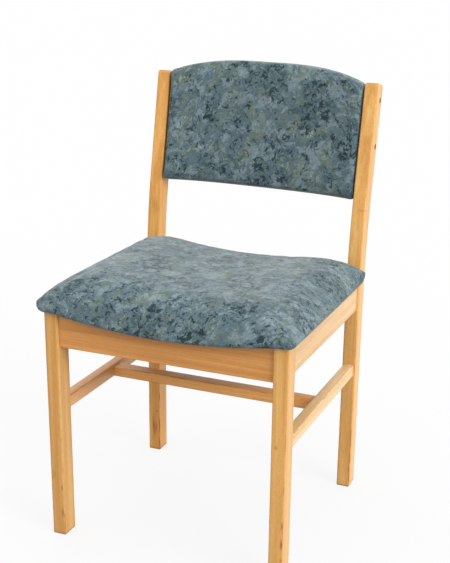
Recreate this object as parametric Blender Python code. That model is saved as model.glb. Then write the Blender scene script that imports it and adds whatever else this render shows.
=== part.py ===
"""Waiting room chair: a tenoned hardwood frame with an upholstered seat and backrest.

Metres, +Z up. The chair faces -Y, and left is -X, as seen from the front.
The origin is on the floor under the middle of the chair.
"""

import math

import bmesh
import bpy
from mathutils import Matrix, Vector

# Driving dimensions of the wooden frame
FIT = 0.0003                    # gap between pieces that touch
FRONT_Y = -0.2378               # front faces of the front legs
FRAME_WIDTH = 0.441             # over the outer faces of the legs
LEG_THICK = 0.0255              # legs and posts, across the chair
FRONT_LEG_DEEP = 0.036
POST_DEEP = 0.0345
POST_SETBACK = 0.387            # front leg's front face to post's front face
POST_BEND_Z = 0.4016            # where the post starts to lean back
POST_BEND_RADIUS = 0.9          # on the post's front face
POST_RAKE = math.radians(11.2)
POST_UPPER = 0.2115             # straight raked length above the bend
POST_TOP_ROUND = 0.006
EDGE_ROUND = 0.0025             # rounded long edges of the bars
RAIL_THICK = 0.020
FRONT_RAIL_BOTTOM = 0.361
SIDE_RAIL_BOTTOM = 0.368
BACK_RAIL_BOTTOM = 0.366
BACK_RAIL_HIGH = 0.056
BACK_RAIL_INSET = 0.0075        # behind the posts' front faces
FRONT_RAIL_INSET = 0.005        # behind the legs' front faces
SIDE_RAIL_INSET = 0.0034        # inside the legs' outer faces
STRETCHER_THICK = 0.0195
STRETCHER_HIGH = 0.0237
STRETCHER_BOTTOM = 0.2363
CROSS_DEEP = 0.026
CROSS_HIGH = 0.0193
CROSS_BOTTOM = 0.2367
CROSS_SETBACK = 0.200           # front leg's front face to cross stretcher's front face

# Driving dimensions of the frame's joints
TENON_LONG = 0.011
TENON_SHOULDER = 0.006          # all round the tenon
TENON_END_GAP = 0.0005          # glue room in the bottom of the mortise
BLOCK_REACH = 0.066             # corner block, along each rail
BLOCK_HIGH = 0.028
BLOCK_SCREW_ALONG = 0.050       # block screws, from the corner along each rail
BLOCK_SCREW_LONG = 0.020        # under the head
BLOCK_SCREW_UNDER_HEAD = 0.008  # wood of the block left under the head
SCREW_RADIUS = 0.00225
SCREW_HEAD_RADIUS = 0.0043
SCREW_HEAD_TOP_RADIUS = 0.0034  # flat of the rounded head
SCREW_HEAD_HIGH = 0.003
SCREW_HEAD_EDGE = 0.0015        # height of the head's straight side
SCREW_POINT = 0.005             # tapered end
SCREW_TIP_RADIUS = 0.0006

# Driving dimensions of the seat
SEAT_WIDTH = 0.469
SEAT_FRONT = 0.0085             # overhang past the legs' front faces, at the corners
SEAT_BOW = 0.007                # further overhang in the middle of the front edge
SEAT_REAR_GAP = 0.0005          # rear edge to the posts
SEAT_FRONT_CORNER = 0.016
SEAT_REAR_CORNER = 0.008
SEAT_EDGE_Z = 0.4293            # underside at the side edges
SEAT_DISH = 0.0215              # how much lower the underside is in the middle
SEAT_TOP_DISH = 0.009           # how much lower the top is in the middle
SEAT_REAR_RISE = 0.004          # how much higher the top is at the rear than at the front
SEAT_THICK = 0.044              # underside to top, near the edge
SEAT_BULGE = 0.006              # height of the widest line of the edge
SEAT_UNDER_ROUND = 0.006        # how far the edge draws in under the bulge
SEAT_TOP_ROUND = 0.045          # width of the rounded top edge
COVER_THICK = 0.0012            # upholstery fabric
COVER_TURN_UNDER = 0.045        # fabric drawn under the seat panel
LINING_THICK = 0.0008
SEAT_PANEL_THICK = 0.010
SEAT_PANEL_INSET = 0.011        # panel's edge inside the seat's widest line
SEAT_SCREW_ALONG = 0.034        # from the front or back rail
SEAT_SCREW_IN = 0.016           # from the side rail
SEAT_SCREW_BITE = 0.007         # into the seat panel

# Driving dimensions of the backrest, on the posts' front faces
BACK_SIDE_GAP = 0.001           # pad to each post
BACK_BOTTOM = 0.002             # pad's lower edge, along the post from the end of the bend
BACK_HIGH = 0.209               # at the sides
BACK_ARCH = 0.029               # how much higher the upper edge is in the middle
BACK_LOWER_ARCH = 0.004         # how much higher the lower edge is in the middle
BACK_ARCH_POWER = 3.0           # 2 is a parabola, more gives fuller shoulders
BACK_CORNER = 0.008
BACK_HOLLOW = 0.012             # how much further back the middle is
BACK_PROUD = 0.002              # pad in front of the posts
BACK_FOAM_THICK = 0.0085
BACK_FRONT_ROUND = 0.009
BACK_PANEL_THICK = 0.007
BATTEN_WIDE = 0.025
BATTEN_THICK = 0.012
BATTEN_END_GAP = 0.020          # pad's lower and upper edge to the batten's ends
FILLING_EDGE_GAP = 0.002        # rear filling to the cover at the lower and upper edge
REAR_PANEL_THICK = 0.003
REAR_TURN = 0.022               # fabric turned on to the rear
BACK_SCREW_UP = (0.099, 0.1825)  # along the post from the end of the bend
BACK_SCREW_BITE = 0.018         # into the batten
PLUG_RADIUS = 0.005
PLUG_LONG = 0.004

# Fineness of the faceted curves
ROUND_SIDES = 12
EDGE_SEGMENTS = 2
BEND_SEGMENTS = 6
CORNER_SEGMENTS = 3
DISH_SEGMENTS = 8
SIDE_SEGMENTS = 4
RAIL_TOP_SEGMENTS = 12
COVER_ROLL_SEGMENTS = 5         # rounded edge of a cover's outer face
FOAM_ROLL_SEGMENTS = 4          # the same edge further in
LEAST_CORNER = 0.003            # plan corners that an inset would close
SEAT_FACE_SHARES = (0.25, 0.5, 0.77)  # loops across the seat, from its rim to its middle line
BACK_FACE_SHARES = (0.0, 0.6)   # loops across the backrest, the same way
SHARP_ANGLE = math.radians(35)  # edges that turn more than this stay sharp

SIDES = (("left", -1), ("right", 1))
HALF_WIDTH = FRAME_WIDTH / 2
LEG_INNER = HALF_WIDTH - LEG_THICK
SIDE_RAIL_OUTER = HALF_WIDTH - SIDE_RAIL_INSET
SIDE_RAIL_INNER = SIDE_RAIL_OUTER - RAIL_THICK
STRETCHER_MIDDLE = HALF_WIDTH - LEG_THICK / 2
FRONT_LEG_BACK = FRONT_Y + FRONT_LEG_DEEP
POST_Y = FRONT_Y + POST_SETBACK
FRONT_RAIL_FRONT = FRONT_Y + FRONT_RAIL_INSET
FRONT_RAIL_BACK = FRONT_RAIL_FRONT + RAIL_THICK
BACK_RAIL_FRONT = POST_Y + BACK_RAIL_INSET
BACK_RAIL_BACK = BACK_RAIL_FRONT + RAIL_THICK
SEAT_HALF = SEAT_WIDTH / 2
SEAT_FRONT_Y = FRONT_Y - SEAT_FRONT
SEAT_REAR_Y = POST_Y - SEAT_REAR_GAP
PANEL_BASE = COVER_THICK + FIT
BEND_END_Y = POST_Y + POST_BEND_RADIUS * (1 - math.cos(POST_RAKE))
BEND_END_Z = POST_BEND_Z + POST_BEND_RADIUS * math.sin(POST_RAKE)

for old_object in list(bpy.data.objects):
    bpy.data.objects.remove(old_object, do_unlink=True)


def finish(name, colour, roughness, metallic=0.0):
    """A plain surface finish; the colour is linear red, green and blue."""
    material = bpy.data.materials.new(name)
    material.use_nodes = True
    shader = material.node_tree.nodes["Principled BSDF"]
    shader.inputs["Base Color"].default_value = (*colour, 1.0)
    shader.inputs["Roughness"].default_value = roughness
    shader.inputs["Metallic"].default_value = metallic
    return material


LACQUERED_BEECH = finish("lacquered_beech", (0.68, 0.39, 0.16), 0.35)
RAW_BEECH = finish("raw_beech", (0.62, 0.43, 0.25), 0.7)
PLYWOOD = finish("birch_plywood", (0.58, 0.42, 0.25), 0.65)
FABRIC = finish("printed_fabric", (0.16, 0.22, 0.24), 0.9)
FOAM = finish("polyurethane_foam", (0.75, 0.68, 0.42), 0.95)
LINING = finish("black_lining", (0.012, 0.012, 0.013), 0.9)
ZINC_STEEL = finish("zinc_plated_steel", (0.62, 0.62, 0.60), 0.35, 1.0)
PLUG_PLASTIC = finish("brown_plug_plastic", (0.10, 0.055, 0.03), 0.5)


def add_object(name, shape, material, parent=None):
    """Turn a bmesh into a named object with outward faces and one finish."""
    bmesh.ops.recalc_face_normals(shape, faces=shape.faces)
    mesh = bpy.data.meshes.new(name)
    shape.to_mesh(mesh)
    shape.free()
    mesh.materials.append(material)
    piece = bpy.data.objects.new(name, mesh)
    bpy.context.scene.collection.objects.link(piece)
    piece.parent = parent
    return piece


def smooth(piece):
    """Shade a rounded piece smooth, with its true corners kept sharp."""
    piece.data.shade_smooth()
    piece.data.set_sharp_from_angle(angle=SHARP_ANGLE)
    return piece


def prism(outline, axis, low, high):
    """Extrude a closed outline of two coordinates along the remaining axis."""
    shape = bmesh.new()
    ends = []
    for level in (low, high):
        points = [list(point) for point in outline]
        for point in points:
            point.insert(axis, level)
        ends.append([shape.verts.new(point) for point in points])
        shape.faces.new(ends[-1])
    count = len(outline)
    for i in range(count):
        j = (i + 1) % count
        shape.faces.new((ends[0][i], ends[0][j], ends[1][j], ends[1][i]))
    bmesh.ops.recalc_face_normals(shape, faces=shape.faces)
    return shape


def block(low, high):
    """A box between two corners."""
    outline = ((low[1], low[2]), (high[1], low[2]), (high[1], high[2]), (low[1], high[2]))
    return prism(outline, 0, low[0], high[0])


def round_edges(shape, wanted):
    """Round the square edges that the test picks out."""
    edges = [
        edge for edge in shape.edges
        if edge.calc_face_angle(0.0) > SHARP_ANGLE and wanted(edge)
    ]
    bmesh.ops.bevel(
        shape, geom=edges, offset=EDGE_ROUND, offset_type="OFFSET",
        segments=EDGE_SEGMENTS, profile=0.5, affect="EDGES", clamp_overlap=True,
    )


def runs_along(axis):
    """A test for edges that lie along one axis."""
    def test(edge):
        run = edge.verts[1].co - edge.verts[0].co
        return abs(run[axis]) > 0.99 * run.length
    return test


cutters = {}


def cutter_for(node):
    """The shape that gathers everything to be cut out of one piece."""
    if node not in cutters:
        cutters[node] = bmesh.new()
    return cutters[node]


def add_box(shape, low, high):
    """Add a box between two corners to a shape."""
    size = [b - a for a, b in zip(low, high)]
    middle = [(a + b) / 2 for a, b in zip(low, high)]
    place = Matrix.Translation(middle) @ Matrix.Diagonal((*size, 1.0))
    bmesh.ops.create_cube(shape, size=1.0, matrix=place)


def tenon_ends(shape, axis, carriers):
    """Draw a tenon out of both ends of a bar, and mortise the pieces that carry it.

    The carriers are the pieces at the bar's low end and at its high end.
    """
    ends = sorted(
        (face for face in shape.faces if abs(face.normal[axis]) > 0.99),
        key=lambda face: face.calc_center_median()[axis],
    )
    for end, carrier, way in zip(ends, carriers, (-1, 1)):
        bmesh.ops.inset_region(shape, faces=[end], thickness=TENON_SHOULDER, use_even_offset=True)
        drawn = bmesh.ops.extrude_face_region(shape, geom=[end])
        tip = [item for item in drawn["geom"] if isinstance(item, bmesh.types.BMVert)]
        root = tip[0].co[axis]
        for vert in tip:
            vert.co[axis] += way * TENON_LONG
        bmesh.ops.delete(shape, geom=[end], context="FACES_ONLY")
        low = [min(vert.co[i] for vert in tip) - FIT for i in range(3)]
        high = [max(vert.co[i] for vert in tip) + FIT for i in range(3)]
        floor = root + way * (TENON_LONG + TENON_END_GAP)
        low[axis], high[axis] = sorted((root, floor))
        add_box(cutter_for(carrier), low, high)
    bmesh.ops.recalc_face_normals(shape, faces=shape.faces)


def body_edges(axis):
    """A test for the long edges of a bar, not those of its tenons."""
    lengthwise = runs_along(axis)
    return lambda edge: lengthwise(edge) and edge.calc_length() > 2 * TENON_LONG


def add_turned(shape, start, direction, stations):
    """Add a solid of revolution: stations are (distance along the axis, radius)."""
    turn = Vector(direction).to_track_quat("Z", "Y")
    rings = []
    for distance, radius in stations:
        ring = []
        for i in range(ROUND_SIDES):
            angle = 2 * math.pi * i / ROUND_SIDES
            spot = Vector((radius * math.cos(angle), radius * math.sin(angle), distance))
            ring.append(shape.verts.new(Vector(start) + turn @ spot))
        rings.append(ring)
    for lower, upper in zip(rings, rings[1:]):
        for i in range(ROUND_SIDES):
            j = (i + 1) % ROUND_SIDES
            shape.faces.new((lower[i], lower[j], upper[j], upper[i]))
    shape.faces.new(rings[0])
    shape.faces.new(rings[-1])


def screw_stations(long):
    """A pan-head screw, head first; its length is measured under the head."""
    end = SCREW_HEAD_HIGH + long
    return (
        (0.0, SCREW_HEAD_TOP_RADIUS),
        (SCREW_HEAD_HIGH - SCREW_HEAD_EDGE, SCREW_HEAD_RADIUS),
        (SCREW_HEAD_HIGH, SCREW_HEAD_RADIUS),
        (SCREW_HEAD_HIGH, SCREW_RADIUS),
        (end - SCREW_POINT, SCREW_RADIUS),
        (end, SCREW_TIP_RADIUS),
    )


def drill(node, start, direction, *steps):
    """Note a round hole to be cut in a piece; steps are (depth reached, radius), widest first."""
    stations = []
    reached = 0.0
    for depth, radius in steps:
        stations += [(reached, radius), (depth, radius)]
        reached = depth
    add_turned(cutter_for(node), start, direction, stations)


def cut_out():
    """Cut every mortise and hole that was noted, with one cutter for each piece."""
    for node, shape in cutters.items():
        piece = bpy.data.objects[node]
        cutter = add_object(node + "_cutter", shape, piece.data.materials[0], piece.parent)
        cutter.hide_render = True
        cutter.display_type = "WIRE"
        boolean = piece.modifiers.new("cut_out", "BOOLEAN")
        boolean.operation = "DIFFERENCE"
        boolean.solver = "EXACT"
        boolean.object = cutter


def add_screw(name, start, direction, long):
    """A screw as a piece of its own; start is the outer face of its head."""
    shape = bmesh.new()
    add_turned(shape, start, direction, screw_stations(long))
    smooth(add_object(name, shape, ZINC_STEEL))


def underside(x):
    """Height of the seat's underside, which is dished across the chair."""
    return SEAT_EDGE_Z - SEAT_DISH * (1 - (x / SEAT_HALF) ** 2)


def on_post(n, s):
    """World Y and Z of a point n behind the post's raked front face and s above the bend."""
    y = BEND_END_Y + s * math.sin(POST_RAKE) + n * math.cos(POST_RAKE)
    z = BEND_END_Z + s * math.cos(POST_RAKE) - n * math.sin(POST_RAKE)
    return y, z


def arc(centre, radius, start, end, segments):
    """Points of an arc in two coordinates, both ends included."""
    points = []
    for i in range(segments + 1):
        angle = start + (end - start) * i / segments
        points.append((centre[0] + radius * math.cos(angle), centre[1] + radius * math.sin(angle)))
    return points


# Front legs: straight, square-topped under the seat, with rounded edges
LEG_TOP = underside(LEG_INNER) - FIT
for side, sign in SIDES:
    x_low, x_high = sorted((sign * HALF_WIDTH, sign * LEG_INNER))
    leg = block((x_low, FRONT_Y, 0.0), (x_high, FRONT_LEG_BACK, LEG_TOP))
    upright = runs_along(2)
    round_edges(leg, lambda edge: upright(edge) or edge.verts[0].co.z + edge.verts[1].co.z < FIT)
    smooth(add_object("front_leg_" + side, leg, LACQUERED_BEECH))

# Back posts: upright behind the seat, bent, then straight and raked up to the rounded top
bend_centre = (POST_Y + POST_BEND_RADIUS, POST_BEND_Z)
post_front = [(POST_Y, 0.0)]
post_front += arc(bend_centre, POST_BEND_RADIUS, math.pi, math.pi - POST_RAKE, BEND_SEGMENTS)
post_rear = [(POST_Y + POST_DEEP, 0.0)]
post_rear += arc(
    bend_centre, POST_BEND_RADIUS - POST_DEEP, math.pi, math.pi - POST_RAKE, BEND_SEGMENTS
)
post_top = []
for n, start in ((POST_TOP_ROUND, math.pi), (POST_DEEP - POST_TOP_ROUND, math.pi / 2)):
    corner = arc(
        (n, POST_UPPER - POST_TOP_ROUND), POST_TOP_ROUND, start, start - math.pi / 2,
        CORNER_SEGMENTS,
    )
    post_top += [on_post(*spot) for spot in corner]
for side, sign in SIDES:
    x_low, x_high = sorted((sign * HALF_WIDTH, sign * LEG_INNER))
    post = prism(post_front + post_top + post_rear[::-1], 0, x_low, x_high)
    round_edges(post, lambda edge: True)
    smooth(add_object("back_post_" + side, post, LACQUERED_BEECH))

# Front rail: set between the front legs, its top edge hollowed to the seat
rail_end = LEG_INNER - FIT
rail_top = []
for i in range(RAIL_TOP_SEGMENTS + 1):
    x = rail_end * (1 - 2 * i / RAIL_TOP_SEGMENTS)
    rail_top.append((x, underside(x) - FIT))
front_rail = prism(
    [(-rail_end, FRONT_RAIL_BOTTOM), (rail_end, FRONT_RAIL_BOTTOM)] + rail_top,
    1, FRONT_RAIL_FRONT, FRONT_RAIL_BACK,
)
tenon_ends(front_rail, 0, ("front_leg_left", "front_leg_right"))
round_edges(front_rail, body_edges(0))
smooth(add_object("front_rail", front_rail, LACQUERED_BEECH))

# Back rail: set between the posts, behind the seat
back_rail = block(
    (-rail_end, BACK_RAIL_FRONT, BACK_RAIL_BOTTOM),
    (rail_end, BACK_RAIL_BACK, BACK_RAIL_BOTTOM + BACK_RAIL_HIGH),
)
tenon_ends(back_rail, 0, ("back_post_left", "back_post_right"))
round_edges(back_rail, body_edges(0))
smooth(add_object("back_rail", back_rail, LACQUERED_BEECH))

# Side rails: from each front leg to its post, with a flat top under the seat's edge
SIDE_RAIL_TOP = underside(SIDE_RAIL_INNER) - FIT
for side, sign in SIDES:
    x_low, x_high = sorted((sign * SIDE_RAIL_OUTER, sign * SIDE_RAIL_INNER))
    side_rail = block(
        (x_low, FRONT_LEG_BACK + FIT, SIDE_RAIL_BOTTOM), (x_high, POST_Y - FIT, SIDE_RAIL_TOP)
    )
    tenon_ends(side_rail, 1, ("front_leg_" + side, "back_post_" + side))
    round_edges(side_rail, body_edges(1))
    smooth(add_object("side_rail_" + side, side_rail, LACQUERED_BEECH))

# Side stretchers: centred on the legs, with one cross stretcher between them
stretcher_top = STRETCHER_BOTTOM + STRETCHER_HIGH
for side, sign in SIDES:
    middle = sign * STRETCHER_MIDDLE
    stretcher = block(
        (middle - STRETCHER_THICK / 2, FRONT_LEG_BACK + FIT, STRETCHER_BOTTOM),
        (middle + STRETCHER_THICK / 2, POST_Y - FIT, stretcher_top),
    )
    tenon_ends(stretcher, 1, ("front_leg_" + side, "back_post_" + side))
    round_edges(stretcher, body_edges(1))
    smooth(add_object("side_stretcher_" + side, stretcher, LACQUERED_BEECH))

cross_end = STRETCHER_MIDDLE - STRETCHER_THICK / 2 - FIT
cross_front = FRONT_Y + CROSS_SETBACK
cross_stretcher = block(
    (-cross_end, cross_front, CROSS_BOTTOM),
    (cross_end, cross_front + CROSS_DEEP, CROSS_BOTTOM + CROSS_HIGH),
)
tenon_ends(cross_stretcher, 0, ("side_stretcher_left", "side_stretcher_right"))
round_edges(cross_stretcher, body_edges(0))
smooth(add_object("cross_stretcher", cross_stretcher, LACQUERED_BEECH))

# Corner blocks: triangles glued into the corners, notched round the legs,
# each with two screws into the rails and one up into the seat panel
block_top = underside(SIDE_RAIL_INNER - FIT - BLOCK_REACH) - FIT
block_bottom = block_top - BLOCK_HIGH
block_middle = (block_top + block_bottom) / 2
shank_hole = SCREW_RADIUS + FIT
head_hole = SCREW_HEAD_RADIUS + FIT
for end, rail_name, rail_face, leg_face, back in (
    ("front", "front_rail", FRONT_RAIL_BACK, FRONT_LEG_BACK, 1),
    ("back", "back_rail", BACK_RAIL_FRONT, POST_Y, -1),
):
    for side, sign in SIDES:
        name = "corner_block_" + end + "_" + side
        corner_x = SIDE_RAIL_INNER - FIT
        corner_y = rail_face + back * FIT
        notch_x = LEG_INNER - FIT
        notch_y = leg_face + back * FIT
        outline = (
            (sign * notch_x, corner_y),
            (sign * notch_x, notch_y),
            (sign * corner_x, notch_y),
            (sign * corner_x, corner_y + back * BLOCK_REACH),
            (sign * (corner_x - BLOCK_REACH), corner_y),
        )
        add_object(name, prism(outline, 2, block_bottom, block_top), RAW_BEECH)

        # The two screws into the rails stand in pockets in the block's long face
        to_side = (
            "block_screw_" + end + "_" + side + "_to_side",
            "side_rail_" + side,
            Vector((sign * corner_x, corner_y + back * BLOCK_SCREW_ALONG, block_middle)),
            Vector((sign, 0, 0)),
        )
        to_end = (
            "block_screw_" + end + "_" + side + "_to_" + end,
            rail_name,
            Vector((sign * (corner_x - BLOCK_SCREW_ALONG), corner_y, block_middle)),
            Vector((0, -back, 0)),
        )
        pocket = BLOCK_REACH - BLOCK_SCREW_ALONG + 2 * SCREW_HEAD_RADIUS
        for screw, rail, face, direction in (to_side, to_end):
            seat_of_head = face - direction * BLOCK_SCREW_UNDER_HEAD
            start = seat_of_head - direction * (SCREW_HEAD_HIGH + FIT)
            add_screw(screw, start, direction, BLOCK_SCREW_LONG)
            mouth = face - direction * pocket
            drill(name, mouth, direction,
                  (pocket - BLOCK_SCREW_UNDER_HEAD, head_hole), (pocket + FIT, shank_hole))
            rail_bite = BLOCK_SCREW_LONG - BLOCK_SCREW_UNDER_HEAD
            drill(rail, face, direction, (rail_bite + 2 * FIT, shank_hole))

        # The seat screw's head bears on the block from below
        spot = Vector((
            sign * (SIDE_RAIL_INNER - SEAT_SCREW_IN), rail_face + back * SEAT_SCREW_ALONG, 0.0
        ))
        panel_face = underside(spot.x) + PANEL_BASE
        spot.z = block_bottom - FIT - SCREW_HEAD_HIGH
        reach = panel_face + SEAT_SCREW_BITE - block_bottom
        up = Vector((0, 0, 1))
        add_screw("seat_screw_" + end + "_" + side, spot, up, reach)
        shank_base = spot + up * (SCREW_HEAD_HIGH - FIT)
        drill(name, shank_base, up, (BLOCK_HIGH + 4 * FIT, shank_hole))
        for layer in ("seat_cover", "seat_lining", "seat_panel"):
            drill(layer, shank_base, up, (reach + 3 * FIT, shank_hole))


def loft(rings, first_centre, last_centre):
    """Skin a row of matching rings, closed at both ends on a middle point."""
    shape = bmesh.new()
    count = len(rings[0])
    loops = [[shape.verts.new(point) for point in ring] for ring in rings]
    for lower, upper in zip(loops, loops[1:]):
        for i in range(count):
            j = (i + 1) % count
            shape.faces.new((lower[i], lower[j], upper[j], upper[i]))
    for loop, centre in ((loops[0], first_centre), (loops[-1], last_centre)):
        middle = shape.verts.new(centre)
        for i in range(count):
            shape.faces.new((loop[i], loop[(i + 1) % count], middle))
    # Skins that lie on each other split their warped quads along the same diagonal
    bmesh.ops.triangulate(shape, faces=shape.faces, quad_method="SHORT_EDGE")
    return shape


def rounded_plan(half, front, rear, front_radius, rear_radius):
    """A rectangle with rounded corners, counter-clockwise from the front left corner."""
    points = []
    quarter = math.pi / 2
    corners = (
        ((-half + front_radius, front + front_radius), front_radius, 2 * quarter),
        ((half - front_radius, front + front_radius), front_radius, 3 * quarter),
        ((half - rear_radius, rear - rear_radius), rear_radius, 0.0),
        ((-half + rear_radius, rear - rear_radius), rear_radius, quarter),
    )
    steps = (DISH_SEGMENTS, SIDE_SEGMENTS, DISH_SEGMENTS, SIDE_SEGMENTS)
    bends = [
        arc(centre, radius, start, start + quarter, CORNER_SEGMENTS)
        for centre, radius, start in corners
    ]
    for i, bend in enumerate(bends):
        following = bends[(i + 1) % len(bends)]
        points += bend
        for step in range(1, steps[i]):
            share = step / steps[i]
            points.append(tuple(a + (b - a) * share for a, b in zip(bend[-1], following[0])))
    return points


# The seat's skins are loops of its plan at one inset and one height above the underside
SEAT_RIM = max(SEAT_TOP_ROUND, COVER_TURN_UNDER)
SEAT_HALF_DEEP = (SEAT_REAR_Y - SEAT_FRONT_Y) / 2
SEAT_INSETS = tuple(SEAT_RIM + (SEAT_HALF_DEEP - SEAT_RIM) * share for share in SEAT_FACE_SHARES)


def seat_ring(inset, height, top_share=0.0):
    """One loop of the seat's skin; top_share blends from the underside's dish to the top's."""
    plan = rounded_plan(
        SEAT_HALF - inset, SEAT_FRONT_Y + inset, SEAT_REAR_Y - inset,
        max(SEAT_FRONT_CORNER - inset, LEAST_CORNER), max(SEAT_REAR_CORNER - inset, LEAST_CORNER),
    )
    return [seat_point(x, y, height, top_share) for x, y in plan]


def seat_point(x, y, height, top_share):
    """A point of the seat's skin, from its place in the plan without the bowed front."""
    across = 1 - (x / SEAT_HALF) ** 2
    forward = (SEAT_REAR_Y - y) / (SEAT_REAR_Y - SEAT_FRONT_Y)
    dish = SEAT_DISH + (SEAT_TOP_DISH - SEAT_DISH) * top_share
    rise = SEAT_REAR_RISE * (1 - forward) * top_share
    return x, y - SEAT_BOW * across * forward ** 3, SEAT_EDGE_Z - dish * across + rise + height


def seat_edge(skin, turns):
    """The edge from under the bulge to the flat of the top, moved in by a skin thickness."""
    rings = []
    quarter = math.pi / 2
    under = SEAT_UNDER_ROUND
    for turn in (0.0, 0.5 * quarter):
        inset = skin + under * (1 - math.sin(turn))
        rings.append(seat_ring(inset, skin + (SEAT_BULGE - skin) * (1 - math.cos(turn))))
    top_radius = SEAT_TOP_ROUND - skin
    rise = SEAT_THICK - SEAT_BULGE - skin
    for i in range(turns + 1):
        turn = quarter * i / turns
        height = SEAT_BULGE + rise * math.sin(turn)
        rings.append(seat_ring(skin + top_radius * (1 - math.cos(turn)), height, math.sin(turn)))
    return rings


def seat_levels(insets, height, top_share):
    """Loops across a face of the seat, from the edge inwards."""
    return [seat_ring(inset, height, top_share) for inset in insets]


def seat_centre(height, top_share):
    """The middle point of a face of the seat."""
    return seat_point(0.0, (SEAT_FRONT_Y + SEAT_REAR_Y) / 2, height, top_share)


# Seat panel: moulded plywood, dished across the chair
panel_top = PANEL_BASE + SEAT_PANEL_THICK
panel_insets = (SEAT_PANEL_INSET, COVER_TURN_UNDER) + SEAT_INSETS
seat_panel = loft(
    seat_levels(panel_insets[::-1], PANEL_BASE, 0.0) + seat_levels(panel_insets, panel_top, 0.0),
    seat_centre(PANEL_BASE, 0.0), seat_centre(panel_top, 0.0),
)
smooth(add_object("seat_panel", seat_panel, PLYWOOD))

# Seat foam: caps the panel and wraps its edge, nearly flat on top over the dished panel
foam_skin = COVER_THICK + FIT
foam_base = panel_top + FIT
foam_hollow = (SEAT_PANEL_INSET - FIT, COVER_TURN_UNDER) + SEAT_INSETS
foam_top = SEAT_THICK - foam_skin
seat_foam = loft(
    seat_levels(foam_hollow[::-1], foam_base, 0.0)
    + [seat_ring(SEAT_PANEL_INSET - FIT, foam_skin)]
    + seat_edge(foam_skin, FOAM_ROLL_SEGMENTS) + seat_levels(SEAT_INSETS, foam_top, 1.0),
    seat_centre(foam_base, 0.0), seat_centre(foam_top, 1.0),
)
smooth(add_object("seat_foam", seat_foam, FOAM))

# Seat cover: fabric over the foam, drawn in under the panel and open below
cover_inner_top = SEAT_THICK - COVER_THICK
turned_insets = (SEAT_PANEL_INSET, COVER_TURN_UNDER)
seat_cover = loft(
    seat_levels(SEAT_INSETS[::-1], SEAT_THICK, 1.0) + seat_edge(0.0, COVER_ROLL_SEGMENTS)[::-1]
    + seat_levels(turned_insets, 0.0, 0.0) + seat_levels(turned_insets[::-1], COVER_THICK, 0.0)
    + seat_edge(COVER_THICK, FOAM_ROLL_SEGMENTS) + seat_levels(SEAT_INSETS, cover_inner_top, 1.0),
    seat_centre(SEAT_THICK, 1.0), seat_centre(cover_inner_top, 1.0),
)
smooth(add_object("seat_cover", seat_cover, FABRIC))

# Seat lining: thin sheet that closes the underside inside the turned-under cover
lining_top = COVER_THICK
lining_base = lining_top - LINING_THICK
lining_insets = (COVER_TURN_UNDER + FIT,) + SEAT_INSETS
seat_lining = loft(
    seat_levels(lining_insets[::-1], lining_base, 0.0)
    + seat_levels(lining_insets, lining_top, 0.0),
    seat_centre(lining_base, 0.0), seat_centre(lining_top, 0.0),
)
add_object("seat_lining", seat_lining, LINING)

# Backrest: everything hangs on an empty that lies on the posts' raked front faces,
# with local X across the chair, Y to the rear and Z up along the posts
back_frame = bpy.data.objects.new("back_frame", None)
back_frame.location = (0.0, BEND_END_Y, BEND_END_Z)
back_frame.rotation_euler = (-POST_RAKE, 0.0, 0.0)
bpy.context.scene.collection.objects.link(back_frame)

BACK_HALF = LEG_INNER - BACK_SIDE_GAP
BACK_TOP = BACK_BOTTOM + BACK_HIGH
BACK_MIDDLE = (BACK_BOTTOM + BACK_TOP) / 2
BACK_RIM = REAR_TURN + BATTEN_WIDE
BACK_INSETS = tuple(BACK_RIM + (BACK_HIGH / 2 - BACK_RIM) * share for share in BACK_FACE_SHARES)
PANEL_N = BACK_FOAM_THICK + COVER_THICK - BACK_PROUD + 2 * FIT
BATTEN_N = PANEL_N + BACK_PANEL_THICK + FIT
REAR_N = BATTEN_N + BATTEN_THICK + FIT


def hollow(x):
    """How far the backrest's middle lies behind its sides."""
    return BACK_HOLLOW * (1 - (x / BACK_HALF) ** 2)


def back_ring(inset, n, side_strip=0.0):
    """One loop of the backrest's skin, n behind the posts' front faces.

    A side strip leaves that much more of the width free on either side.
    """
    corner = max(BACK_CORNER - inset, LEAST_CORNER)
    half = BACK_HALF - inset - side_strip
    plan = rounded_plan(half, BACK_BOTTOM + inset, BACK_TOP - inset, corner, corner)
    ring = []
    for x, s in plan:
        upward = (s - BACK_BOTTOM) / (BACK_TOP - BACK_BOTTOM)
        arch = BACK_LOWER_ARCH + (BACK_ARCH - BACK_LOWER_ARCH) * upward
        rise = arch * (1 - abs(x / BACK_HALF) ** BACK_ARCH_POWER)
        ring.append((x, n + hollow(x), s + rise))
    return ring


def back_centre(n):
    """The middle point of a face of the backrest."""
    return (0.0, n + BACK_HOLLOW, BACK_MIDDLE + (BACK_LOWER_ARCH + BACK_ARCH) / 2)


def back_levels(insets, n):
    """Loops across a face of the backrest, from the edge inwards."""
    return [back_ring(inset, n) for inset in insets]


def back_front(skin, turns):
    """The rounded front edge, from the side on to the face, moved in by a skin thickness."""
    rings = []
    radius = BACK_FRONT_ROUND - skin
    for i in range(turns + 1):
        turn = math.pi / 2 * i / turns
        n = skin - BACK_PROUD + radius * (1 - math.sin(turn))
        rings.append(back_ring(skin + radius * (1 - math.cos(turn)), n))
    return rings


# Back panel: moulded plywood, hollow across and arched at the top
core_inset = COVER_THICK + FIT
core_insets = (core_inset,) + BACK_INSETS
panel_rear = PANEL_N + BACK_PANEL_THICK
back_panel = loft(
    back_levels(core_insets[::-1], PANEL_N) + back_levels(core_insets, panel_rear),
    back_centre(PANEL_N), back_centre(panel_rear),
)
smooth(add_object("back_panel", back_panel, PLYWOOD, back_frame))

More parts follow.
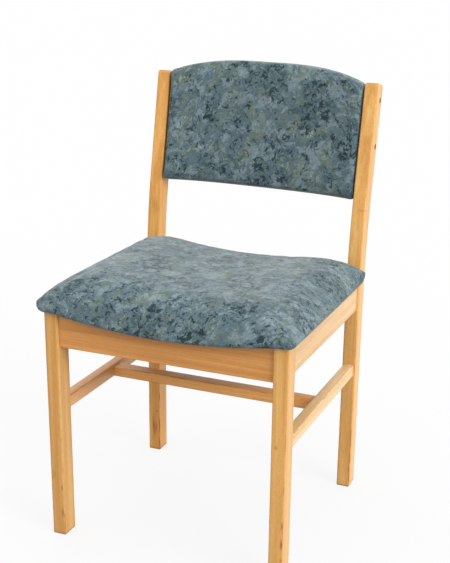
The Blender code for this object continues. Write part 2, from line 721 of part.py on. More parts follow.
# Battens: hardwood strips behind the panel's sides that the screws bite into
BATTEN_OUTER = BACK_HALF - core_inset
BATTEN_INNER = BATTEN_OUTER - BATTEN_WIDE
for side, sign in SIDES:
    section = []
    for x, n in (
        (BATTEN_INNER, BATTEN_N), (BATTEN_OUTER, BATTEN_N),
        (BATTEN_OUTER, BATTEN_N + BATTEN_THICK), (BATTEN_INNER, BATTEN_N + BATTEN_THICK),
    ):
        section.append((sign * x, n + hollow(x)))
    batten = prism(section, 2, BACK_BOTTOM + BATTEN_END_GAP, BACK_TOP - BATTEN_END_GAP)
    add_object("back_batten_" + side, batten, RAW_BEECH, back_frame)

# Foam in front of the panel, rounded at its edges, and a flat filling behind it
# between the battens
back_foam = loft(
    back_levels(core_insets[::-1], PANEL_N - FIT)
    + back_front(core_inset, FOAM_ROLL_SEGMENTS) + back_levels(BACK_INSETS, core_inset - BACK_PROUD),
    back_centre(PANEL_N - FIT), back_centre(core_inset - BACK_PROUD),
)
smooth(add_object("back_foam", back_foam, FOAM, back_frame))

filling_rear = BATTEN_N + BATTEN_THICK
filling_inset = COVER_THICK + FILLING_EDGE_GAP
filling_strip = BATTEN_OUTER - BATTEN_INNER + FIT
back_filling = loft(
    back_levels(BACK_INSETS[::-1], BATTEN_N)
    + [back_ring(filling_inset, n, filling_strip) for n in (BATTEN_N, filling_rear)]
    + back_levels(BACK_INSETS, filling_rear),
    back_centre(BATTEN_N), back_centre(filling_rear),
)
smooth(add_object("back_rear_foam", back_filling, FOAM, back_frame))

# Back cover: fabric over the front and the edges, turned on to the rear
back_cover = loft(
    back_levels(BACK_INSETS[::-1], -BACK_PROUD) + back_front(0.0, COVER_ROLL_SEGMENTS)[::-1]
    + [
        back_ring(0.0, REAR_N + COVER_THICK), back_ring(REAR_TURN, REAR_N + COVER_THICK),
        back_ring(REAR_TURN, REAR_N), back_ring(COVER_THICK, REAR_N),
    ]
    + back_front(COVER_THICK, FOAM_ROLL_SEGMENTS) + back_levels(BACK_INSETS, COVER_THICK - BACK_PROUD),
    back_centre(-BACK_PROUD), back_centre(COVER_THICK - BACK_PROUD),
)
smooth(add_object("back_cover", back_cover, FABRIC, back_frame))

# Rear panel: fabric-covered board that closes the rear inside the turned fabric
rear_insets = (REAR_TURN + FIT,) + BACK_INSETS
rear_panel = loft(
    back_levels(rear_insets[::-1], REAR_N) + back_levels(rear_insets, REAR_N + REAR_PANEL_THICK),
    back_centre(REAR_N), back_centre(REAR_N + REAR_PANEL_THICK),
)
smooth(add_object("back_rear_panel", rear_panel, FABRIC, back_frame))

# Screws through the posts into the battens, each under a plug
screw_n = BATTEN_N + BATTEN_THICK / 2 + hollow((BATTEN_INNER + BATTEN_OUTER) / 2)
head_depth = PLUG_LONG + FIT + SCREW_HEAD_HIGH
for side, sign in SIDES:
    post_name = "back_post_" + side
    batten_name = "back_batten_" + side
    inward = Vector((-sign, 0, 0))
    for level, up_post in zip(("lower", "upper"), BACK_SCREW_UP):
        y, z = on_post(screw_n, up_post)
        outer = Vector((sign * HALF_WIDTH, y, z))
        plug = bmesh.new()
        add_turned(plug, outer, inward, ((0.0, PLUG_RADIUS), (PLUG_LONG, PLUG_RADIUS)))
        smooth(add_object("post_plug_" + side + "_" + level, plug, PLUG_PLASTIC))
        head = outer + inward * (PLUG_LONG + FIT)
        long = HALF_WIDTH - head_depth - BATTEN_OUTER + BACK_SCREW_BITE
        add_screw("back_screw_" + side + "_" + level, head, inward, long)
        drill(post_name, outer - inward * FIT, inward,
              (head_depth + 2 * FIT, PLUG_RADIUS + FIT), (LEG_THICK + 2 * FIT, shank_hole))
        local = Vector((sign * BATTEN_OUTER, screw_n, up_post))
        drill("back_cover", local - inward * (core_inset + FIT), inward,
              (core_inset + 2 * FIT, shank_hole))
        drill(batten_name, local - inward * FIT, inward, (BACK_SCREW_BITE + 2 * FIT, shank_hole))

cut_out()
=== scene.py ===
import math

import bpy
import numpy as np
from mathutils import Matrix, Vector, noise


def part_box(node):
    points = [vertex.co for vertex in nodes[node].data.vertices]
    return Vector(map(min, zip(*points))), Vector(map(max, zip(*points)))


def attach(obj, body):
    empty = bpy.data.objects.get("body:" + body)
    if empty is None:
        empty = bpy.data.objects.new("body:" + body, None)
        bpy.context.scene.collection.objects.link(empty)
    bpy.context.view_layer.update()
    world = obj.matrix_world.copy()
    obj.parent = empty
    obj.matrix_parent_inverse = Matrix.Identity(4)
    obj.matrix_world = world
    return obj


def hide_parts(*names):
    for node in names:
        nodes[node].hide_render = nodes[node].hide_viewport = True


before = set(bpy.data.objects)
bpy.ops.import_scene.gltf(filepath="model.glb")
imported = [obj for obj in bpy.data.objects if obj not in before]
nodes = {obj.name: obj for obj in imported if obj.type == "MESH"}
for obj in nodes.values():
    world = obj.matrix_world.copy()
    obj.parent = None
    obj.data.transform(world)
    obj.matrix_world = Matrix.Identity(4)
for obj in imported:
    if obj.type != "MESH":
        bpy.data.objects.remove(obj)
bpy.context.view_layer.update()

BODY = "root"


# Front legs: two square bars of steamed beech, planed and rounded over along the edges, with mortises
# for the rails and stretchers. They stand on their bare ends. The whole frame is sprayed with a clear
# satin lacquer, which has been knocked and scuffed in use.

def linear(colour):
    """An sRGB hex colour as linear red, green, blue and alpha."""
    parts = [int(colour[i:i + 2], 16) / 255 for i in (1, 3, 5)]
    return [c / 12.92 if c <= .04045 else ((c + .055) / 1.055) ** 2.4 for c in parts] + [1]


def put(tree, kind, links=None, stops=None, **settings):
    """Adds a node. links feeds its inputs, each with a value or another node's output; stops fills a ramp.
    Inputs go by name or number. A Mix node's factor is 0, its numbers are 2 and 3 and its colours 6 and 7. A
    Map Range node reads 0 and turns the range from 1 to 2 into that from 3 to 4."""
    node = tree.nodes.new(kind)
    for key, value in settings.items():
        setattr(node, key, value)
    for key, value in (links or {}).items():
        if isinstance(value, bpy.types.NodeSocket):
            tree.links.new(value, node.inputs[key])
        else:
            node.inputs[key].default_value = value
    for number, (position, colour) in enumerate(stops or ()):
        ramp = node.color_ramp.elements
        stop = ramp[number] if number < 2 else ramp.new(position)
        stop.position = position
        stop.color = linear(colour)
    return node


def bare_material(name):
    """A new material with an empty node tree."""
    material = bpy.data.materials.new(name)
    material.use_nodes = True
    material.node_tree.nodes.clear()
    return material


# Each leg's brown, middle and pale colours are partly the beech's own tone and partly painted light: the
# left leg is painted darker as shade, where the light falls off to the left.
LEG_TONES_WITH_PAINTED_SHADE = {"left": ("#C6914B", "#D39D55", "#DAAC67"), "right": ("#CE974E", "#DBA459", "#E3B36B")}
BEECH_STREAK = "#E6D6C0"
BEECH_RAY = "#A9703C"
BEECH_END = "#9C6838"
SCUFF = "#78371B"
# The layers of the wood's figure and wear: size across the grain, size along it, and detail. Beech's own
# rays are a quarter of a millimetre wide and its fibres finer still. Both are drawn about three times
# coarser, so that they still show in a picture of one leg.
BEECH_LAYERS = (("bands", .016, .60, 2), ("streaks", .0032, .17, 3), ("rays", .0008, .0045, 1),
                ("fibres", .0005, .016, 2), ("scuffs", .014, .0224, 5), ("rubs", .006, .035, 4))
# A share says how strongly a layer shows.
STREAK_SHARE = .60
RAY_SHARE = .36
FIBRE_DARK, FIBRE_LIGHT = .93, 1.07
END_SHARE = .75
SCUFF_HEIGHT = .16
SCUFF_HIGH_SHARE, SCUFF_LOW_SHARE = .02, .30
FOOT_DIRT = .007
FOOT_SHARE = .60
RUB_HIGH, RUB_LOW = .42, .05
RUB_HIGH_SHARE, RUB_LOW_SHARE = .10, .80
# The largest part of a normal is 1 on a square face and falls off round an edge.
SQUARE_FACE, ROUND_EDGE = .985, .88
KNOCK_RAGGED = 1.6
KNOCK_RIM, KNOCK_HEART = 1.9, .9
BEECH_SMOOTH, BEECH_DULL = .40, .52
WORN_DULLER = .3
RAY_SUNK = -.6
BEECH_RELIEF = .00012
WOOD_SPECULAR = .1
LACQUER_IOR = 1.5
LACQUER_ROUGHNESS = .30
LACQUER_WEIGHT = .6
X, Y, Z = 0, 1, 2


def lacquered_beech(name, grain, board, marks=()):
    """Planed beech under satin lacquer: straight pale bands, short brown ray flecks and a soft broad gloss.
    grain is the axis that the fibres follow, board this board's brown, middle and pale colours, which hold
    painted light and shade as well as the beech's own tone, and marks
    its knocks: (place, radius across, radius along, depth)."""
    material = bare_material("beech_planed_satin_lacquer_" + name)
    tree = material.node_tree
    place = put(tree, "ShaderNodeTexCoord").outputs["Object"]
    figure = {}
    for layer, across, along, detail in BEECH_LAYERS:
        scale = [1 / across] * 3
        scale[grain] = 1 / along
        shift = [len(figure)] * 3
        spot = put(tree, "ShaderNodeMapping", {"Vector": place, "Scale": scale, "Location": shift})
        figure[layer] = put(tree, "ShaderNodeTexNoise",
                            {"Vector": spot.outputs[0], "Scale": 1, "Detail": detail}).outputs[0]
    brown, middle, pale = board
    colour = put(tree, "ShaderNodeValToRGB", {0: figure["bands"]},
                 [(.34, brown), (.68, pale), (.5, middle)]).outputs[0]
    streaks = put(tree, "ShaderNodeValToRGB", {0: figure["streaks"]},
                  [(.3, BEECH_STREAK), (.62, "#FFFFFF")]).outputs[0]
    colour = put(tree, "ShaderNodeMix", {0: STREAK_SHARE, 6: colour, 7: streaks},
                 data_type="RGBA", blend_type="MULTIPLY").outputs[2]
    rays = put(tree, "ShaderNodeMapRange",
               {0: figure["rays"], 1: .60, 2: .67, 3: 0, 4: RAY_SHARE}).outputs[0]
    colour = put(tree, "ShaderNodeMix", {0: rays, 6: colour, 7: linear(BEECH_RAY)},
                 data_type="RGBA").outputs[2]
    tint = put(tree, "ShaderNodeMapRange",
               {0: figure["fibres"], 1: .3, 2: .7, 3: FIBRE_DARK, 4: FIBRE_LIGHT}).outputs[0]
    colour = put(tree, "ShaderNodeVectorMath", {0: colour, "Scale": tint}, operation="SCALE").outputs[0]

    # End grain takes up more lacquer and is darker.
    normal = put(tree, "ShaderNodeNewGeometry").outputs["Normal"]
    normal = put(tree, "ShaderNodeVectorMath", {0: normal}, operation="ABSOLUTE").outputs[0]
    facing = put(tree, "ShaderNodeSeparateXYZ", {0: normal}).outputs
    ends = put(tree, "ShaderNodeMapRange",
               {0: facing[grain], 1: .60, 2: .95, 3: 0, 4: END_SHARE}).outputs[0]
    colour = put(tree, "ShaderNodeMix", {0: ends, 6: colour, 7: linear(BEECH_END)},
                 data_type="RGBA").outputs[2]

    # Kicks and dirt are thickest low down, and rubs follow the rounded edges, where no face lies square.
    height = put(tree, "ShaderNodeSeparateXYZ", {0: place}).outputs["Z"]
    low = put(tree, "ShaderNodeMapRange",
              {0: height, 1: SCUFF_HEIGHT, 2: 0, 3: SCUFF_HIGH_SHARE, 4: SCUFF_LOW_SHARE}).outputs[0]
    kicked = put(tree, "ShaderNodeMapRange", {0: figure["scuffs"], 1: .60, 2: .78, 3: 0, 4: 1}).outputs[0]
    worn = put(tree, "ShaderNodeMath", {0: low, 1: kicked}, operation="MULTIPLY").outputs[0]
    foot = put(tree, "ShaderNodeMapRange", {0: height, 1: FOOT_DIRT, 2: 0, 3: 0, 4: FOOT_SHARE}).outputs[0]
    worn = put(tree, "ShaderNodeMath", {0: worn, 1: foot}, operation="MAXIMUM").outputs[0]
    square = put(tree, "ShaderNodeMath", {0: facing[X], 1: facing[Y]}, operation="MAXIMUM").outputs[0]
    square = put(tree, "ShaderNodeMath", {0: square, 1: facing[Z]}, operation="MAXIMUM").outputs[0]
    edge = put(tree, "ShaderNodeMapRange",
               {0: square, 1: SQUARE_FACE, 2: ROUND_EDGE, 3: 0, 4: 1}).outputs[0]
    share = put(tree, "ShaderNodeMapRange",
                {0: height, 1: RUB_HIGH, 2: RUB_LOW, 3: RUB_HIGH_SHARE, 4: RUB_LOW_SHARE}).outputs[0]
    rubbed = put(tree, "ShaderNodeMapRange", {0: figure["rubs"], 1: .50, 2: .60, 3: 0, 4: share}).outputs[0]
    rubbed = put(tree, "ShaderNodeMath", {0: rubbed, 1: edge}, operation="MULTIPLY").outputs[0]
    worn = put(tree, "ShaderNodeMath", {0: worn, 1: rubbed}, operation="MAXIMUM").outputs[0]
    for spot, across, along, depth in marks:
        scale = [1 / across] * 3
        scale[grain] = 1 / along
        shift = [-p * s for p, s in zip(spot, scale)]
        near = put(tree, "ShaderNodeMapping",
                   {"Vector": place, "Location": shift, "Scale": scale}).outputs[0]
        reach = put(tree, "ShaderNodeVectorMath", {0: near}, operation="LENGTH").outputs["Value"]
        ragged = put(tree, "ShaderNodeMath", {0: figure["rubs"], 1: KNOCK_RAGGED, 2: reach},
                     operation="MULTIPLY_ADD").outputs[0]
        knock = put(tree, "ShaderNodeMapRange",
                    {0: ragged, 1: KNOCK_RIM, 2: KNOCK_HEART, 3: 0, 4: depth}).outputs[0]
        worn = put(tree, "ShaderNodeMath", {0: worn, 1: knock}, operation="MAXIMUM").outputs[0]
    colour = put(tree, "ShaderNodeMix", {0: worn, 6: colour, 7: linear(SCUFF)}, data_type="RGBA").outputs[2]

    rough = put(tree, "ShaderNodeMapRange",
                {0: figure["streaks"], 1: .3, 2: .7, 3: BEECH_SMOOTH, 4: BEECH_DULL}).outputs[0]
    rough = put(tree, "ShaderNodeMath", {0: worn, 1: WORN_DULLER, 2: rough},
                operation="MULTIPLY_ADD").outputs[0]
    relief = put(tree, "ShaderNodeMath", {0: rays, 1: RAY_SUNK, 2: figure["fibres"]},
                 operation="MULTIPLY_ADD").outputs[0]
    bump = put(tree, "ShaderNodeBump",
               {"Height": relief, "Strength": .5, "Distance": BEECH_RELIEF}).outputs[0]
    surface = put(tree, "ShaderNodeBsdfPrincipled",
                  {"Base Color": colour, "Roughness": rough, "Normal": bump, "IOR": LACQUER_IOR,
                   "Specular IOR Level": WOOD_SPECULAR, "Coat Weight": LACQUER_WEIGHT,
                   "Coat Roughness": LACQUER_ROUGHNESS, "Coat IOR": LACQUER_IOR})
    put(tree, "ShaderNodeOutputMaterial", {0: surface.outputs[0]})
    return material


WELD = .00001
CREASE = math.radians(62)
LARGE_FACES_LEAD = 100
rounding = bpy.data.node_groups.new("edges_rounded_over", "GeometryNodeTree")
rounding.interface.new_socket("Geometry", in_out="INPUT", socket_type="NodeSocketGeometry")
rounding.interface.new_socket("Geometry", in_out="OUTPUT", socket_type="NodeSocketGeometry")
facets = put(rounding, "NodeGroupInput").outputs[0]
welded = put(rounding, "GeometryNodeMergeByDistance", {"Geometry": facets, "Distance": WELD}).outputs[0]
corner = put(rounding, "GeometryNodeInputMeshEdgeAngle").outputs["Unsigned Angle"]
sharp = put(rounding, "FunctionNodeCompare", {0: corner, 1: CREASE}, operation="GREATER_THAN").outputs[0]
shaded = put(rounding, "GeometryNodeSetMeshNormal",
             {"Mesh": welded, "Remove Custom": True, "Edge Sharpness": sharp, "Face Sharpness": False})
put(rounding, "NodeGroupOutput", {0: shaded.outputs[0]})


def finish_node(name, material):
    """Gives a piece of the frame its material, and lets the light run smoothly over its rounded edges."""
    node = nodes[name]
    node.material_slots[0].material = material
    node.modifiers.new("edges_rounded_over", "NODES").node_group = rounding
    even = node.modifiers.new("flat_faces_kept_flat", "WEIGHTED_NORMAL")
    even.weight = LARGE_FACES_LEAD
    even.keep_sharp = True


SIDES = ("left", "right")
leg_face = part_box("front_leg_right")[0].y
LEG_KNOCKS = {
    "left": [((-.214, leg_face, .118), .0030, .012, .35), ((-.199, leg_face, .045), .0034, .010, .55),
             ((-.1985, leg_face, .095), .0022, .006, .45), ((-.2190, leg_face, .052), .0020, .008, .45)],
    "right": [((.2042, leg_face, .2525), .0030, .0042, .45), ((.2030, leg_face, .172), .0016, .0024, .25),
              ((.2182, leg_face, .112), .0026, .008, .55), ((.2182, leg_face, .078), .0028, .011, .70),
              ((.2175, leg_face, .0485), .0022, .004, .60)],
}
for side in SIDES:
    name = "front_leg_" + side
    finish_node(name, lacquered_beech(name, Z, LEG_TONES_WITH_PAINTED_SHADE[side], LEG_KNOCKS[side]))


# Back posts: each is one length of beech sawn to a bend, so that the back leg and the raked post above
# the seat are one piece. Same planing, rounded edges and lacquer as the front legs.

# Each post's colours are partly the beech's own tone and partly painted light: the right post is painted
# paler as the light from the right, and the left post darker as shade.
POST_TONES_WITH_PAINTED_LIGHT = {"left": ("#D2964A", "#DFA455", "#E6B166"), "right": ("#D79C54", "#E2AB5E", "#EABA72")}
post_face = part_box("back_post_left")[0].y
POST_KNOCKS = {
    "left": [((-.2014, post_face, .0889), .0026, .0030, .85), ((-.2085, post_face, .0560), .0045, .024, .75),
             ((-.2030, post_face, .0520), .0030, .014, .60), ((-.1964, post_face, .0200), .0020, .014, .65),
             ((-.2050, .158, .5270), .0120, .022, .22)],
    "right": [((.2190, post_face, .0376), .0026, .012, .70), ((.2200, post_face, .1130), .0020, .008, .55),
              ((.2140, .163, .5580), .0100, .002, .25)],
}
for side in SIDES:
    name = "back_post_" + side
    finish_node(name, lacquered_beech(name, Z, POST_TONES_WITH_PAINTED_LIGHT[side], POST_KNOCKS[side]))


# Seat rails and stretchers: planed beech bars, tenoned and glued into the legs and posts. The front and
# back rails are hollowed along the top to carry the dished seat, and the cross stretcher ties the two side
# stretchers together below.

# These colours are partly the beech's own tone and partly painted shade: the front rail is painted darker
# and redder for the shade under the seat's front edge.
CROSSWISE_TONES_WITH_PAINTED_SHADE = {"front_rail": ("#C68745", "#D3944F", "#DAA15F"),
                    "back_rail": ("#D39A50", "#E0A85B", "#E8B76E"),
                    "cross_stretcher": ("#DA954B", "#E8A356", "#EFB168")}
# Partly the beech's own tone and partly painted light: the left side pieces are painted darker and redder as
# shade under the seat, and the right ones paler as light from the right.
SIDE_TONES_WITH_PAINTED_LIGHT = {"left": ("#D99B5C", "#E4A768", "#EBB67B"), "right": ("#DAB078", "#E3BE87", "#E8CB9C")}
for name, board in CROSSWISE_TONES_WITH_PAINTED_SHADE.items():
    finish_node(name, lacquered_beech(name, X, board))
for member in ("side_rail_", "side_stretcher_"):
    for side in SIDES:
        finish_node(member + side, lacquered_beech(member + side, Y, SIDE_TONES_WITH_PAINTED_LIGHT[side]))


# Corner blocks: short three-cornered beech blocks glued and screwed into the corners under the seat. They
# are left as the saw cut them, with no lacquer, because nobody sees them.

RAW_BEECH_LIGHT = "#D9B48A"
RAW_BEECH_DARK = "#B98D61"
RAW_FIBRE_ALONG, RAW_FIBRE_ACROSS = .03, .003
RAW_ROUGHNESS = .82
RAW_IOR = 1.5
SAW_PITCH = .0032
SAW_WANDER = 1.5
SAW_RELIEF = .0003
# At a scale of 1 a wave texture's bands along an axis repeat after this length, and its diagonal bands
# after a little more.
WAVE_LENGTH = math.pi / 10
raw_beech = bare_material("beech_sawn_unfinished")
tree = raw_beech.node_tree
place = put(tree, "ShaderNodeTexCoord").outputs["Object"]
# Sawn wood is dull, with a fine ridge for each tooth of the saw and fibres that stand up a little.
scale = (1 / RAW_FIBRE_ALONG, 1 / RAW_FIBRE_ALONG, 1 / RAW_FIBRE_ACROSS)
stretched = put(tree, "ShaderNodeMapping", {"Vector": place, "Scale": scale}).outputs[0]
fibres = put(tree, "ShaderNodeTexNoise", {"Vector": stretched, "Scale": 1, "Detail": 5}).outputs[0]
ridges = put(tree, "ShaderNodeTexWave",
             {"Vector": place, "Scale": WAVE_LENGTH / SAW_PITCH, "Distortion": SAW_WANDER},
             bands_direction="DIAGONAL").outputs[1]
colour = put(tree, "ShaderNodeValToRGB", {0: fibres},
             [(.3, RAW_BEECH_DARK), (.7, RAW_BEECH_LIGHT)]).outputs[0]
height = put(tree, "ShaderNodeMath", {0: ridges, 1: fibres}, operation="ADD").outputs[0]
bump = put(tree, "ShaderNodeBump", {"Height": height, "Strength": .6, "Distance": SAW_RELIEF}).outputs[0]
surface = put(tree, "ShaderNodeBsdfPrincipled",
              {"Base Color": colour, "Roughness": RAW_ROUGHNESS, "IOR": RAW_IOR, "Normal": bump})
put(tree, "ShaderNodeOutputMaterial", {0: surface.outputs[0]})
for end in ("front", "back"):
    for side in SIDES:
        finish_node("corner_block_{}_{}".format(end, side), raw_beech)


# Screws: zinc-plated countersunk wood screws through the blocks into the rails and the seat's panel, and
# through the posts into the backrest.

ZINC_BRIGHT = "#D3D4D0"
ZINC_CLOUDED = "#A7A9A6"
ZINC_CLOUD = .002
ZINC_DULL, ZINC_SMOOTH = .42, .26
ZINC_RELIEF = .0001
zinc = bare_material("steel_turned_zinc_plated")
tree = zinc.node_tree
place = put(tree, "ShaderNodeTexCoord").outputs["Object"]
# Plated screws are bright grey, with cloudy patches where the zinc has dulled.
clouds = put(tree, "ShaderNodeTexNoise", {"Vector": place, "Scale": 1 / ZINC_CLOUD, "Detail": 4}).outputs[0]
colour = put(tree, "ShaderNodeValToRGB", {0: clouds}, [(.35, ZINC_CLOUDED), (.65, ZINC_BRIGHT)]).outputs[0]
rough = put(tree, "ShaderNodeMapRange", {0: clouds, 1: .3, 2: .7, 3: ZINC_DULL, 4: ZINC_SMOOTH}).outputs[0]
bump = put(tree, "ShaderNodeBump", {"Height": clouds, "Strength": .2, "Distance": ZINC_RELIEF}).outputs[0]
surface = put(tree, "ShaderNodeBsdfPrincipled",
              {"Base Color": colour, "Roughness": rough, "Metallic": 1, "Normal": bump})
put(tree, "ShaderNodeOutputMaterial", {0: surface.outputs[0]})
for name in nodes:
    if "_screw_" in name:
        finish_node(name, zinc)


# Seat: a dished plywood panel with foam on it and one piece of printed cloth drawn over the foam and
# stapled underneath. The cloth is pulled tight along the edges and gathered at the corners, and the front
# edge rolls down over the rail.

LEAST_RADIUS = .0002
ARC_POINTS = 9


def outline(inset, half, near, far, near_radius, far_radius, cells):
    """Points round a rectangle with rounded corners, spaced evenly on each side from corner to corner.
    Each side begins and ends half way round a corner."""
    near_round = max(near_radius - inset, LEAST_RADIUS)
    far_round = max(far_radius - inset, LEAST_RADIUS)
    wide = half - inset
    centres = [(-wide + near_round, near + inset + near_round, near_round),
               (wide - near_round, near + inset + near_round, near_round),
               (wide - far_round, far - inset - far_round, far_round),
               (-wide + far_round, far - inset - far_round, far_round)]
    points = []
    for number in range(4):
        line = []
        for (x, y, radius), first, last in ((centres[number], -45, 0), (centres[(number + 1) % 4], 0, 45)):
            for turn in np.linspace(first, last, ARC_POINTS):
                angle = math.radians(number * 90 - 90 + turn)
                line.append((x + radius * math.cos(angle), y + radius * math.sin(angle)))
        line = np.array(line)
        along = np.concatenate([[0], np.cumsum(np.linalg.norm(np.diff(line, axis=0), axis=1))])
        count = cells[number % 2]
        stations = np.linspace(0, along[-1], count + 1)[:-1]
        points += zip(np.interp(stations, along, line[:, 0]), np.interp(stations, along, line[:, 1]))
    return np.array(points)


def upholster(name, rings, rim, seat, cells, cloth):
    """A closed body of squares: rings of points from its hidden face round to its shown one, with a grid
    that fills each of the two. rim(inset) gives a ring's outline and seat(x, y, level) a point's place. The
    layer named threads lays the cloth so that its threads run square to the sides."""
    wide, deep = cells
    count = 2 * (wide + deep)
    flat, points, faces, threads = [], [], [], []
    for inset, level in rings:
        ring = rim(inset)
        flat.append(ring)
        points += [seat(x, y, level) for x, y in ring]
    corners = (0, wide, wide + deep, 2 * wide + deep, count)
    travel = np.zeros((len(rings), count))
    for r in range(len(rings) - 2, -1, -1):
        for i in range(count):
            travel[r, i] = travel[r + 1, i] + (points[r * count + i] - points[(r + 1) * count + i]).length
    outward = ((0, -1), (1, 0), (0, 1), (-1, 0))
    for r in range(len(rings) - 1):
        for side in range(4):
            for i in range(corners[side], corners[side + 1]):
                ends = ((r, i), (r, (i + 1) % count), (r + 1, (i + 1) % count), (r + 1, i))
                faces.append([a * count + b for a, b in ends])
                for a, b in ends:
                    run = [flat[a][b][k] if outward[side][k] == 0 else flat[-1][b][k] for k in (0, 1)]
                    threads.append([run[k] + outward[side][k] * travel[a, b] for k in (0, 1)])
    for r, turned in ((0, True), (len(rings) - 1, False)):
        ring = flat[r]
        near = ring[:wide + 1]
        right = ring[wide:wide + deep + 1]
        far = ring[wide + deep:2 * wide + deep + 1][::-1]
        left = np.concatenate([ring[2 * wide + deep:], ring[:1]])[::-1]
        grid = {}
        for j in range(deep + 1):
            for i in range(wide + 1):
                u, v = i / wide, j / deep
                if j == 0:
                    grid[i, j] = (r * count + i, near[i])
                elif j == deep:
                    grid[i, j] = (r * count + 2 * wide + deep - i, far[i])
                elif i == wide:
                    grid[i, j] = (r * count + wide + j, right[j])
                elif i == 0:
                    grid[i, j] = (r * count + count - j, left[j])
                else:
                    spot = (1 - v) * near[i] + v * far[i] + (1 - u) * left[j] + u * right[j]
                    spot = spot - (1 - u) * (1 - v) * near[0] - u * (1 - v) * near[-1]
                    spot = spot - (1 - u) * v * far[0] - u * v * far[-1]
                    grid[i, j] = (len(points), spot)
                    points.append(seat(spot[0], spot[1], rings[r][1]))
        for j in range(deep):
            for i in range(wide):
                square = [grid[i, j], grid[i + 1, j], grid[i + 1, j + 1], grid[i, j + 1]]
                if turned:
                    square = square[::-1]
                faces.append([number for number, spot in square])
                threads += [list(spot) for number, spot in square]
    mesh = bpy.data.meshes.new(name)
    mesh.from_pydata(points, [], faces)
    mesh.uv_layers.new(name="threads")
    mesh.uv_layers[0].data.foreach_set("uv", np.array(threads, dtype=float).ravel())
    mesh.polygons.foreach_set("use_smooth", [True] * len(mesh.polygons))
    mesh.materials.append(cloth)
    piece = bpy.data.objects.new(name, mesh)
    bpy.context.collection.objects.link(piece)
    return piece


SLATE = "#5F747C"
SLATE_PALE = "#83969D"
KHAKI = "#6D7B67"
TEAL_GREY = "#445A60"
TEAL_DARK = "#1D353B"
CHALK = "#B0BBAC"
SPECK_GREY = "#C4C8C8"
DRIFT = .045
# The dabs in the order of printing: ink, size, stretch, slant in degrees, detail, swirl, the level of the
# noise where a dab begins, the softness of its edge, how far it covers, and how it gathers in the drifts.
DABS = ((SLATE_PALE, .0220, 1.3, 25, 5, .7, .48, .10, .85, -.06),
        (KHAKI, .0180, 1.4, 50, 5, .8, .52, .10, .62, -.08),
        (TEAL_GREY, .0150, 1.3, -30, 5, .7, .54, .06, .70, .08),
        (TEAL_DARK, .0100, 1.3, 35, 4, .8, .575, .05, .90, .11),
        (TEAL_DARK, .0074, 1.4, -40, 4, .7, .60, .045, .85, .10),
        (CHALK, .0085, 1.6, 60, 4, .9, .63, .06, .45, -.10))
# The strokes: ink, size of the curves that they follow, slant in degrees, width as a step in the noise, and
# how far they cover. They show only in patches.
STROKES = ((CHALK, .0150, 55, .013, .62), (TEAL_DARK, .0120, 25, .012, .50))
STROKE_CORE = .3
STROKE_PATCH = .02
MOTTLE = .0034
MOTTLE_SHARE = .8
# The real threads are about half a millimetre apart, which a render of the whole chair can't show, so they
# are drawn at more than twice that.
THREAD = .0012
WEAVE_DARK, WEAVE_LIGHT = .86, 1.04
WEAVE_DULL, WEAVE_SMOOTH = .92, .80
WEAVE_RELIEF = .00025
CLOTH_IOR = 1.45
CLOTH_SPECULAR = .25
FUZZ_WEIGHT, FUZZ_ROUGHNESS = .32, .4
FIELD_SHIFT = .037
FIELD_ROUGHNESS = .6
printed_cloth = bare_material("cotton_blend_woven_printed")
tree = printed_cloth.node_tree
place = put(tree, "ShaderNodeUVMap", uv_map="threads").outputs[0]


def blotches(size, stretch, slant, detail, swirl):
    """A field of noise on the cloth with spots of about the given size, drawn out along a slant. The number
    of nodes so far shifts each field, so that no two lie alike."""
    shift = [FIELD_SHIFT * len(tree.nodes)] * 3
    laid = put(tree, "ShaderNodeMapping",
               {"Vector": place, "Location": shift, "Rotation": (0, 0, math.radians(slant)),
                "Scale": (size * stretch, size, size)}, vector_type="TEXTURE").outputs[0]
    return put(tree, "ShaderNodeTexNoise",
               {"Vector": laid, "Scale": 1, "Detail": detail, "Roughness": FIELD_ROUGHNESS,
                "Distortion": swirl}).outputs[0]


# A matt furnishing cloth. The print is a loose all-over mottle of small brushed dabs with crisp edges: pale
# slate, khaki and dark teal, which gather in drifts, and thin chalky strokes between them.
drift = blotches(DRIFT, stretch=1.4, slant=50, detail=2, swirl=.5)
drift = put(tree, "ShaderNodeMapRange", {0: drift, 1: .36, 2: .64, 3: -.5, 4: .5}).outputs[0]
colour = linear(SLATE)
for ink, size, stretch, slant, detail, swirl, edge, soft, cover, gather in DABS:
    field = blotches(size, stretch, slant, detail, swirl)
    field = put(tree, "ShaderNodeMath", {0: drift, 1: gather, 2: field}, operation="MULTIPLY_ADD").outputs[0]
    dab = put(tree, "ShaderNodeMapRange", {0: field, 1: edge, 2: edge + soft, 3: 0, 4: cover}).outputs[0]
    colour = put(tree, "ShaderNodeMix", {0: dab, 6: colour, 7: linear(ink)}, data_type="RGBA").outputs[2]
for ink, size, slant, width, cover in STROKES:
    off = blotches(size, 1.5, slant, detail=3, swirl=1.2)
    off = put(tree, "ShaderNodeMath", {0: off, 1: .5}, operation="SUBTRACT").outputs[0]
    off = put(tree, "ShaderNodeMath", {0: off}, operation="ABSOLUTE").outputs[0]
    line = put(tree, "ShaderNodeMapRange",
               {0: off, 1: width, 2: width * STROKE_CORE, 3: 0, 4: cover}).outputs[0]
    patch = blotches(STROKE_PATCH, 1.3, slant, detail=3, swirl=.6)
    patch = put(tree, "ShaderNodeMapRange", {0: patch, 1: .48, 2: .58, 3: 0, 4: 1}).outputs[0]
    line = put(tree, "ShaderNodeMath", {0: line, 1: patch}, operation="MULTIPLY").outputs[0]
    colour = put(tree, "ShaderNodeMix", {0: line, 6: colour, 7: linear(ink)}, data_type="RGBA").outputs[2]
speck = blotches(MOTTLE, stretch=1.3, slant=35, detail=3, swirl=.2)
